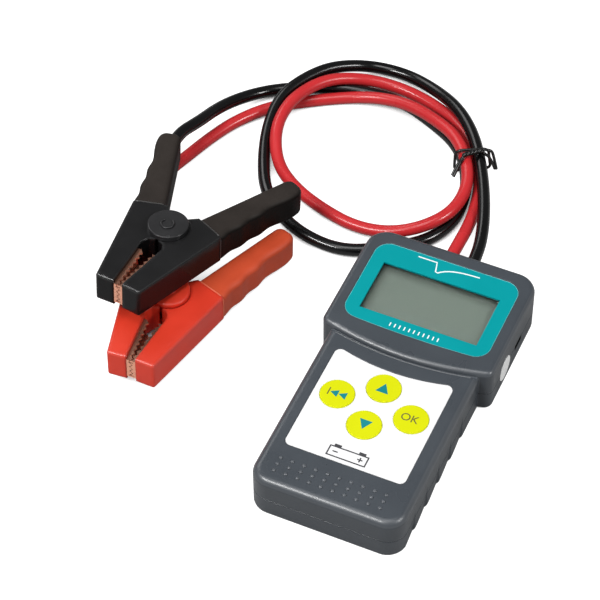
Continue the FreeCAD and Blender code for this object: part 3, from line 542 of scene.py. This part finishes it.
panel_shape = merged("display_bezel")
panel_top = max(vertex.co.z for vertex in panel_shape.verts)
panel_edge, panel_opening = loops_round(panel_shape, faces_at(panel_shape, panel_top))[:2]
panel_shape.free()
opening_left = min(point.x for point in panel_opening)
opening_far = max(point.y for point in panel_opening)
shade_reach = 5.5 * MM
shade_depth = 0.22
cell_glass = moulded("cell_glass", (0.076, 0.094, 0.080), 0.4, grain_scale=300.0, grain_depth=0.000005,
                     mottle=0.02, rubbed=0.02, specular=0.3)
cell_tree = cell_glass.node_tree
cell_place = add_node(cell_tree, "ShaderNodeSeparateXYZ", [
    (first_node(cell_tree, "TEX_COORD").outputs["Object"], "Vector")])
from_left = add_node(cell_tree, "ShaderNodeMapRange", [(cell_place.outputs["X"], "Value")],
                     interpolation_type="SMOOTHSTEP",
                     From_Min=opening_left - shade_reach / 2, From_Max=opening_left + shade_reach)
from_far = add_node(cell_tree, "ShaderNodeMapRange", [(cell_place.outputs["Y"], "Value")],
                    interpolation_type="SMOOTHSTEP",
                    From_Min=opening_far + shade_reach / 2, From_Max=opening_far - shade_reach)
cell_lit = times(cell_tree, from_left.outputs["Result"], from_far.outputs["Result"])
cell_light = add_node(cell_tree, "ShaderNodeMapRange", [(cell_lit, "Value")], To_Min=shade_depth)
cell_surface = first_node(cell_tree, "GROUP")
cell_colour = add_node(cell_tree, "ShaderNodeVectorMath", [
    (cell_surface.outputs["Colour"], 0), (cell_light.outputs["Result"], "Scale")], operation="SCALE")
cell_tree.links.new(cell_colour.outputs[0], cell_tree.nodes["Principled BSDF"].inputs["Base Color"])
dress(cell_glass, "lcd_panel")
tray_plastic = moulded("tray_plastic", (0.70, 0.71, 0.70), 0.5)
dress(tray_plastic, "lcd_frame")

# Display panel: a teal film printed on a stiff plate and bonded in the recess of the head.
# A fine pale line runs round its cut edge, a painted highlight, and the print carries a load-test curve and a
# row of ticks.
panel_film = moulded("panel_film", (0.0, 0.262, 0.285), 0.42, grain_scale=1200.0, grain_depth=0.000012,
                     mottle=0.03, rubbed=0.03, specular=0.12)
dress(panel_film, "display_bezel")
panel_edge_painted_highlight = moulded("panel_edge_painted_highlight", (0.12, 0.50, 0.52), 0.45)
edge_wire = 0.2
edge_mesh = wire_mesh("panel_edge_line", [panel_edge], edge_wire * MM, closed=True)
new_piece("panel_edge_line", edge_mesh, panel_edge_painted_highlight, "housing")
white_ink = moulded("white_ink", (0.80, 0.84, 0.84), 0.5, specular=0.3)
ink_thickness = 0.04 * MM


def printed(name, outlines, top, ink, body):
    """A print: closed plates of ink, half sunk in the surface at the height of its top."""
    mesh = solid_mesh(name, outlines, top - ink_thickness, top + ink_thickness)
    return new_piece(name, mesh, ink, body)


def stroke(points, width):
    """The outline, in metres, of a line of even width through points in millimetres."""
    left, right = [], []
    for index, here in enumerate(points):
        before = points[max(index - 1, 0)]
        after = points[min(index + 1, len(points) - 1)]
        along = (Vector(after) - Vector(before)).normalized()
        across = Vector((-along.y, along.x)) * width / 2
        left.append(tuple((Vector(here) + across) * MM))
        right.append(tuple((Vector(here) - across) * MM))
    return left + list(reversed(right))


curve_width = 0.55
load_drop = [(-13.2, 58.2), (-5.2, 58.2), (-4.0, 53.4), (-3.0, 53.2)]
recovery_from = -2.2
recovery_length = 15.4
recovered_level = 57.6
recovery_rise = 3.6
recovery_rate = 3.2
recovery_steps = 10
recovery = [(recovery_from + recovery_length * step / recovery_steps,
             recovered_level - recovery_rise * math.exp(-recovery_rate * step / recovery_steps))
            for step in range(recovery_steps + 1)]
load_curve = stroke(load_drop + recovery, curve_width)
printed("load_curve", [load_curve], panel_top, white_ink, "housing")
tick_count = 11
tick_pitch = 2.0
tick_y = 21.4
tick_half_x = 0.22
tick_half_y = 0.9
tick_row = [((index - (tick_count - 1) / 2) * tick_pitch * MM, tick_y * MM, panel_top)
            for index in range(tick_count)]


def bar(x0, y0, x1, y1):
    """An oblong outline in metres, from two corners in millimetres."""
    return [(x0 * MM, y0 * MM), (x1 * MM, y0 * MM), (x1 * MM, y1 * MM), (x0 * MM, y1 * MM)]


tick_outline = bar(-tick_half_x, -tick_half_y, tick_half_x, tick_half_y)
tick_mesh = solid_mesh("tick", [tick_outline], -ink_thickness, ink_thickness)
stamped("panel_ticks", tick_row, tick_mesh, white_ink, "housing")

# Side sticker: a plain round dot of white paper with glue on its back.
# It is stuck over the seam in the right wall of the head once the housing is closed.
sticker_film = moulded("sticker_film", (0.95, 0.955, 0.945), 0.55, grain_depth=0.00001, mottle=0.04)
dress(sticker_film, "side_sticker")

# Keypad label: a white printed polyester film, bonded in a shallow recess round the keys.
# A battery with its two poles is printed below the keys in dark grey.
label_film = moulded("label_film", (0.72, 0.72, 0.725), 0.5, grain_depth=0.00001, mottle=0.015, rubbed=0.03,
                     specular=0.3)
dress(label_film, "keypad_label")
grey_ink = moulded("grey_ink", (0.045, 0.045, 0.05), 0.5, specular=0.3)
label_top = spans(corners_of("keypad_label"))[2][1]
line = 0.55
sign_x = 8.0
sign_y = -43.3
sign_half_y = 2.5
sign_low, sign_high = sign_y - sign_half_y, sign_y + sign_half_y
pole_from, pole_to, pole_height = 1.6, 4.4, 1.0
minus_from, minus_to = 1.9, 4.1
plus_x, plus_half = sign_x - 3.0, 1.1
battery_sign = [
    bar(-sign_x, sign_low, sign_x, sign_low + line),
    bar(-sign_x, sign_high - line, sign_x, sign_high),
    bar(-sign_x, sign_low + line, -sign_x + line, sign_high - line),
    bar(sign_x - line, sign_low + line, sign_x, sign_high - line),
    bar(-sign_x + pole_from, sign_high, -sign_x + pole_to, sign_high + pole_height),
    bar(sign_x - pole_to, sign_high, sign_x - pole_from, sign_high + pole_height),
    bar(-sign_x + minus_from, sign_y - line / 2, -sign_x + minus_to, sign_y + line / 2),
    bar(sign_x - minus_to, sign_y - line / 2, sign_x - minus_from, sign_y + line / 2),
    bar(plus_x - line / 2, sign_y + line / 2, plus_x + line / 2, sign_y + plus_half),
    bar(plus_x - line / 2, sign_y - plus_half, plus_x + line / 2, sign_y - line / 2),
]
printed("battery_sign", battery_sign, label_top, grey_ink, "housing")

# Keys: four round caps of yellow silicone rubber, moulded with a flange that holds them under the face.
# A thin rim runs round each cap in its hole, and its symbol is printed on top:
# up, down, back to the start, and the confirming word.
key_rubber = moulded("key_rubber", (0.57, 0.60, 0.0), 0.55, grain_depth=0.00001, mottle=0.02, rubbed=0.03,
                     specular=0.15)
dress(key_rubber, "key_up", "key_down", "key_back", "key_ok")
teal_ink = moulded("teal_ink", (0.0, 0.20, 0.22), 0.5, specular=0.3)
olive_ink = moulded("olive_ink", (0.11, 0.105, 0.03), 0.5, specular=0.3)
rim_wire = 0.14
rim_inset = 0.02
rim_steps = 64
cap_wall = 0.1
for key in ("key_up", "key_down", "key_back", "key_ok"):
    side_x, side_y, _ = spans([corner for corner in corners_of(key) if corner.z > label_top - cap_wall * MM])
    rim = (side_x[1] - side_x[0]) / 2 - rim_inset * MM
    turns = [2 * math.pi * step / rim_steps for step in range(rim_steps)]
    rim_route = [(sum(side_x) / 2 + rim * math.cos(turn), sum(side_y) / 2 + rim * math.sin(turn),
                  label_top - rim_wire * MM / 2) for turn in turns]
    rim_mesh = wire_mesh(key + "_rim", [rim_route], rim_wire * MM, closed=True)
    new_piece(key + "_rim", rim_mesh, key_rubber, key)


def on_key(key, outlines):
    """Outlines given in millimetres from the middle of a key, moved to the key, and the height of its top."""
    across, along, height = spans(corners_of(key))
    middle = [sum(across) / 2, sum(along) / 2]
    return [[(middle[0] + x * MM, middle[1] + y * MM) for x, y in outline] for outline in outlines], height[1]


arrow_half = 2.6
arrow_height = 4.6
for key, way in (("key_up", 1), ("key_down", -1)):
    foot, point = -way * arrow_height / 2, way * arrow_height / 2
    outlines, key_top = on_key(key, [[(-arrow_half, foot), (arrow_half, foot), (0, point)]])
    printed(key + "_arrow", outlines, key_top, teal_ink, key)
chevron_length = 3.2
chevron_half = 1.75
chevron_points = (-2.9, 0.5)
chevrons = [[(tip, 0), (tip + chevron_length, -chevron_half), (tip + chevron_length, chevron_half)]
            for tip in chevron_points]
outlines, key_top = on_key("key_back", chevrons)
printed("key_back_arrows", outlines, key_top, teal_ink, "key_back")
stop_from, stop_to = -3.7, -3.25
stop_bar = [(stop_from, -chevron_half), (stop_to, -chevron_half),
            (stop_to, chevron_half), (stop_from, chevron_half)]
outlines, key_top = on_key("key_back", [stop_bar])
printed("key_back_bar", outlines, key_top, olive_ink, "key_back")
word_size = 4.9
word_shift = -0.6
word_curve = bpy.data.curves.new("ok_word", "FONT")
word_curve.body = "OK"
word_curve.align_x = "CENTER"
word_curve.align_y = "CENTER"
word_curve.size = word_size * MM
word_curve.extrude = ink_thickness
word_carrier = bpy.data.objects.new("ok_word", word_curve)
scene.collection.objects.link(word_carrier)
word_mesh = plain_mesh(word_carrier)
[[word_place]], key_top = on_key("key_ok", [[(word_shift, 0)]])
word_mesh.transform(Matrix.Translation((*word_place, key_top)))
new_piece("key_ok_word", word_mesh, olive_ink, "key_ok")

# Lead glands: black rubber strain reliefs, one for each lead, in the far end wall.
# They are moulded round the leads and held in the wall between the two shells.
gland_rubber = moulded("gland_rubber", (0.012, 0.012, 0.013), 0.6, grain_scale=700.0, grain_depth=0.00004,
                       mottle=0.1)
dress(gland_rubber, "red_gland", "black_gland")

# Clamps: each is two hollow glossy mouldings on a steel pin with wide caps, shut by a torsion spring.
# Soft sleeves cover the handles, and toothed copper jaws are riveted inside the tips.
# A spring's coil stays with the pin, and its moving leg swings with the half that it pushes.
# Jaw walls are painted against their tops: the red ones lighter, a painted light, and the black ones darker,
# a painted shade.
jaw_plastic = {
    "red": moulded("red_jaw_plastic", (0.56, 0.033, 0.014), 0.4, grain_scale=350.0, mottle=0.06,
                   rubbed=0.06, specular=0.35, edge=0.0018, edge_gloss=0.3, painted_wall_level=1.2),
    "black": moulded("black_jaw_plastic", (0.0125, 0.0125, 0.013), 0.16, grain_scale=350.0, mottle=0.15,
                     rubbed=0.04, specular=0.18, edge=0.0018, edge_gloss=0.25, painted_wall_level=0.4),
}
cap_plastic = {
    "red": jaw_plastic["red"],
    "black": moulded("black_cap_plastic", (0.02, 0.02, 0.021), 0.25, grain_scale=350.0, mottle=0.15,
                     rubbed=0.04, specular=0.4),
}
# The black sleeves' walls are painted much darker than their tops, a painted shade.
grip_rubber = {
    "red": moulded("red_grip_rubber", (0.46, 0.053, 0.015), 0.55, grain_depth=0.00008, mottle=0.10,
                   rubbed=0.06, specular=0.4),
    "black": moulded("black_grip_rubber", (0.026, 0.0215, 0.019), 0.45, grain_depth=0.00008, mottle=0.2,
                     rubbed=0.06, specular=0.08, painted_wall_level=0.25),
}
# The red seam bead is painted lighter than its sleeve, a painted highlight along the sleeve's root; the black
# one keeps nearly the sleeve's colour.
seam_rubber_and_highlight = {
    "red": moulded("red_seam_painted_highlight", (0.62, 0.13, 0.065), 0.4),
    "black": moulded("black_seam_rubber", (0.03, 0.029, 0.028), 0.3),
}
# The copper's tops are painted dark and its walls and teeth much brighter: painted shade and painted
# highlight.
copper = metal("copper", (0.36, 0.172, 0.115), 0.3, metallic=0.75, painted_wall_level=2.8)
spring_steel = metal("spring_steel", (0.45, 0.45, 0.46), 0.3)
seam_wire = 0.55
clip_radius = 2.5
clip_wire = 0.7
clip_steps = 40
clip_from = -40
clip_sweep = 285
looks_along = 0.9
same_way = 0.999
end_slack = 0.01
coil_clear = 0.1
leg_turn = 34
leg_step = 2
leg_reach = 0.8
leg_slimness = 0.97


def middle_of(points):
    return sum(points, Vector()) / len(points)


def root_edge(grip, pin):
    """The outer edge of a sleeve's end face, the one that looks at the pin."""
    shape = merged(grip)
    inward = (middle_of(corners_of(pin)) - middle_of([vertex.co for vertex in shape.verts])).normalized()
    groups = {}
    for face in shape.faces:
        if face.normal.dot(inward) > looks_along:
            groups.setdefault(tuple(round(part, 2) for part in face.normal), set()).add(face)
    end_face = max(groups.values(), key=lambda faces: sum(face.calc_area() for face in faces))
    edge = loops_round(shape, end_face)[0]
    shape.free()
    return edge


def split_spring(colour, pin_middle, axis):
    """A spring's coil without its moving leg, and that leg with the wire that it draws out of the coil."""
    spring = merged(colour + "_jaw_spring")
    toward = (middle_of(corners_of(colour + "_moving_grip")) - pin_middle).normalized()
    tip_face = max((face for face in spring.faces if face.normal.dot(toward) > looks_along),
                   key=lambda face: face.calc_center_median().dot(toward))
    along = tip_face.normal.copy()
    level = tip_face.calc_center_median().dot(along)
    rim = {vertex for face in spring.faces if face.normal.dot(along) > same_way
           and abs(face.calc_center_median().dot(along) - level) < end_slack * MM for vertex in face.verts}
    tip = middle_of([vertex.co for vertex in rim])
    wire = 2 * max((vertex.co - tip).length for vertex in rim)
    foot = tip - along * (tip - pin_middle).dot(along)
    centre = pin_middle + axis * (foot - pin_middle).dot(axis)
    leg_faces = []
    for face in spring.faces:
        from_foot = face.calc_center_median() - foot
        if from_foot.dot(along) > coil_clear * MM and from_foot.cross(along).length < wire * leg_reach:
            leg_faces.append(face)
    bmesh.ops.delete(spring, geom=leg_faces, context="FACES")
    bmesh.ops.holes_fill(spring, edges=[edge for edge in spring.edges if edge.is_boundary])
    coil_mesh = finished(colour + "_spring_coil", spring)
    drawn_out = [centre + Matrix.Rotation(math.radians(-angle), 3, axis) @ (foot - centre)
                 for angle in range(leg_turn, 0, -leg_step)]
    leg_mesh = wire_mesh(colour + "_spring_leg", [drawn_out + [foot, tip]], wire * leg_slimness)
    return coil_mesh, leg_mesh


for colour in ("red", "black"):
    pin = colour + "_pivot_pin"
    dress(jaw_plastic[colour], colour + "_fixed_jaw", colour + "_moving_jaw")
    dress(cap_plastic[colour], pin)
    dress(grip_rubber[colour], colour + "_fixed_grip", colour + "_moving_grip")
    dress(copper, colour + "_fixed_contact", colour + "_moving_contact")
    dress(plated_steel, colour + "_fixed_rivet", colour + "_moving_rivet")
    dress(spring_steel, colour + "_jaw_spring")
    parts = [nodes[name] for name in nodes if name.startswith(colour + "_")
             and not name.endswith(("_lead", "_gland", "_jaw_spring"))]

    for half, body in (("fixed", "housing"), ("moving", colour + "_clamp_half")):
        seam = colour + "_" + half + "_seam"
        seam_route = root_edge(colour + "_" + half + "_grip", pin)
        seam_mesh = wire_mesh(seam, [seam_route], seam_wire * MM, closed=True)
        parts.append(new_piece(seam, seam_mesh, seam_rubber_and_highlight[colour], body))

    pin_shape = merged(pin)
    cap_face = max((face for face in pin_shape.faces if face.normal.z > looks_along),
                   key=lambda face: face.calc_center_median().z)
    cap_up = cap_face.normal.copy()
    pin_middle = middle_of([vertex.co for vertex in pin_shape.verts])
    cap_middle = pin_middle + cap_up * (cap_face.calc_center_median() - pin_middle).dot(cap_up)
    pin_shape.free()
    clip_turn = cap_up.to_track_quat("Z", "Y")
    clip_route = []
    for step in range(clip_steps + 1):
        angle = math.radians(clip_from + clip_sweep * step / clip_steps)
        on_cap = Vector((clip_radius * math.cos(angle), clip_radius * math.sin(angle), 0))
        clip_route.append(cap_middle + clip_turn @ on_cap * MM)
    clip = colour + "_pin_clip"
    clip_mesh = wire_mesh(clip, [clip_route], clip_wire * MM)
    parts.append(new_piece(clip, clip_mesh, cap_plastic[colour], "housing"))

    coil_mesh, leg_mesh = split_spring(colour, pin_middle, cap_up)
    coil = new_piece(colour + "_spring_coil", coil_mesh, spring_steel, "housing")
    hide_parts(colour + "_jaw_spring")
    leg = new_piece(colour + "_spring_leg", leg_mesh, spring_steel, colour + "_clamp_half")

# Twist tie: a thin steel wire in black plastic, wound round the coil.
# Its ends are twisted together on top; one pair hangs to the left and one is bent down on the right.
# Its points are given across the strands, towards the near end, and up from the floor.
tie_plastic = moulded("tie_plastic", (0.006, 0.006, 0.006), 0.32, grain_scale=600.0, grain_depth=0.00003,
                      mottle=0.15)
tie_wire = 1.25
tie_turn = math.radians(30)
tie_middle = Vector((-18.0, 128.7, 0))
tie_across = Vector((math.cos(tie_turn), math.sin(tie_turn), 0))
tie_near = Vector((math.sin(tie_turn), -math.cos(tie_turn), 0))
loop_route = [
    (-7, 0, 7), (-7, 0.4, 13.4), (0, 0.8, 13.6), (7, 0.4, 13.2),
    (7.6, 0, 6.5), (8.6, 0.3, 0.7), (0, -0.3, 0.65), (-7, 0, 0.7),
]
tie_ends = (
    ([(-9.4, 8.6, 7.2), (-6.7, 5.6, 10.6), (-4.6, 4.4, 13.2)],
     [(5.2, 2.0, 14.2), (7.6, 2.1, 13.6), (8.7, 2.4, 12.0), (10.2, 3.9, 4.0)]),
    ([(-8.9, 9.3, 7.0), (-6.0, 6.2, 10.7), (-4.4, 4.8, 13.4)],
     [(5.0, 3.6, 13.2), (7.4, 3.2, 10.6), (9.5, 3.9, 4.2)]),
)
twist_from = (-4, 3.7, 13.9)
twist_run = (8, -1.6, 0.3)
twist_steps = 22
twist_turns = 2.5
twist_radius = 0.56
tie_routes = []
for half_turn, (left_end, right_end) in enumerate(tie_ends):
    twist = []
    for step in range(twist_steps + 1):
        part = step / twist_steps
        angle = 2 * math.pi * twist_turns * part + math.pi * half_turn
        across, near, rise = [start + run * part for start, run in zip(twist_from, twist_run)]
        twist.append((across, near + twist_radius * math.cos(angle), rise + twist_radius * math.sin(angle)))
    tie_routes.append(left_end + twist + right_end)


def tie_places(route):
    return [(tie_middle + tie_across * across + tie_near * near + Vector((0, 0, rise))) * MM
            for across, near, rise in route]


tie_ring = wire_mesh("tie_ring", [tie_places(loop_route)], tie_wire * MM, closed=True, smooth=True)
tie_tails = wire_mesh("tie_tails", [tie_places(route) for route in tie_routes], tie_wire * MM, smooth=True)
tie_shape = bmesh.new()
tie_shape.from_mesh(tie_ring)
tie_shape.from_mesh(tie_tails)
for face in tie_shape.faces:
    face.smooth = True
twist_tie = new_piece("tie_wire", finished("tie_wire", tie_shape), tie_plastic, "housing")
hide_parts("twist_tie")

# Leads: two stranded copper leads in glossy PVC, one red and one black, extruded round and very flexible.
# Each leaves its gland, lies in the coil that the tie holds, and ends inside the handle of its clamp.
red_pvc = moulded("red_pvc", (0.50, 0.022, 0.026), 0.27, grain_scale=500.0, grain_depth=0.000012,
                  mottle=0.06, specular=0.45)
black_pvc = moulded("black_pvc", (0.002, 0.002, 0.0023), 0.22, grain_scale=500.0, grain_depth=0.000012,
                    mottle=0.15)
lead_diameter = 5.2 * MM
red_route = [
    (-4.8, 63.15, 9.0),
    (-4.8, 77.5, 9.0), (-4.9, 92.5, 7.4), (-7.0, 106.5, 4.6), (-10.4, 120.8, 4.1),
    (-20.1, 138.1, 4.2), (-32.5, 150.0, 2.9), (-47.5, 156.6, 2.7), (-63.2, 159.8, 2.7),
    (-78.2, 156.7, 4.8), (-90.0, 147.4, 8.7), (-96.8, 136.8, 9.8), (-100.5, 123.6, 10.4),
    (-99.6, 109.2, 8.4), (-92.4, 96.0, 3.8), (-80.0, 87.2, 2.7), (-65.0, 81.2, 2.7),
    (-49.5, 77.6, 2.7), (-34.5, 79.0, 4.0), (-21.7, 85.1, 7.1), (-13.4, 97.0, 8.3),
    (-12.9, 112.3, 8.8), (-18.7, 125.0, 9.8), (-27.8, 135.8, 9.8), (-39.5, 142.3, 8.8),
    (-53.2, 146.8, 8.2), (-68.5, 148.4, 5.0), (-82.5, 144.6, 2.7), (-96.0, 136.3, 2.7),
    (-109.7, 126.5, 2.7), (-119.6, 112.9, 2.7), (-125.2, 99.8, 2.7), (-129.2, 86.0, 3.2),
    (-132.0, 73.0, 5.2), (-131.0, 58.3, 7.0), (-126.1, 46.6, 7.5),
]
black_route = [
    (4.8, 63.15, 9.0),
    (4.8, 77.5, 9.0), (1.6, 92.5, 9.4), (-5.0, 110.0, 10.0), (-13.2, 126.5, 10.0),
    (-22.0, 140.5, 9.8), (-33.4, 152.6, 8.8), (-48.0, 162.9, 4.6), (-63.5, 168.5, 2.7),
    (-79.2, 166.6, 3.4), (-91.8, 156.3, 7.6), (-99.6, 144.8, 9.0), (-105.8, 129.7, 8.8),
    (-104.9, 113.3, 5.4), (-99.3, 96.6, 2.7), (-91.6, 81.8, 2.7), (-80.0, 71.0, 2.7),
    (-64.5, 64.3, 2.7), (-48.0, 63.5, 2.7), (-33.0, 71.8, 2.7), (-19.8, 81.2, 2.7),
    (-12.6, 95.8, 2.7), (-13.8, 113.0, 3.2), (-19.5, 126.8, 4.4), (-28.8, 137.8, 4.0),
    (-41.8, 145.6, 2.7), (-58.0, 152.2, 2.7), (-75.0, 151.9, 2.7), (-91.0, 148.0, 2.7),
    (-105.0, 141.2, 2.7), (-116.2, 133.2, 3.2), (-123.7, 121.4, 6.0), (-127.3, 109.2, 9.8),
    (-128.4, 96.8, 14.2), (-132.3, 80.7, 18.6), (-129.1, 68.4, 19.9),
]


def lead(name, route, material):
    """One smooth curve through the route, given the round section of the cable."""
    places = [(x * MM, y * MM, z * MM) for x, y, z in route]
    cable = round_wire(name, [places], lead_diameter, smooth=True, steps=10, sides=7)
    cable.data.materials.append(material)
    return cable


red_cable = lead("red_cable", red_route, red_pvc)
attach(red_cable, "housing")
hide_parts("red_lead")
black_cable = lead("black_cable", black_route, black_pvc)
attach(black_cable, "housing")
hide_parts("black_lead")
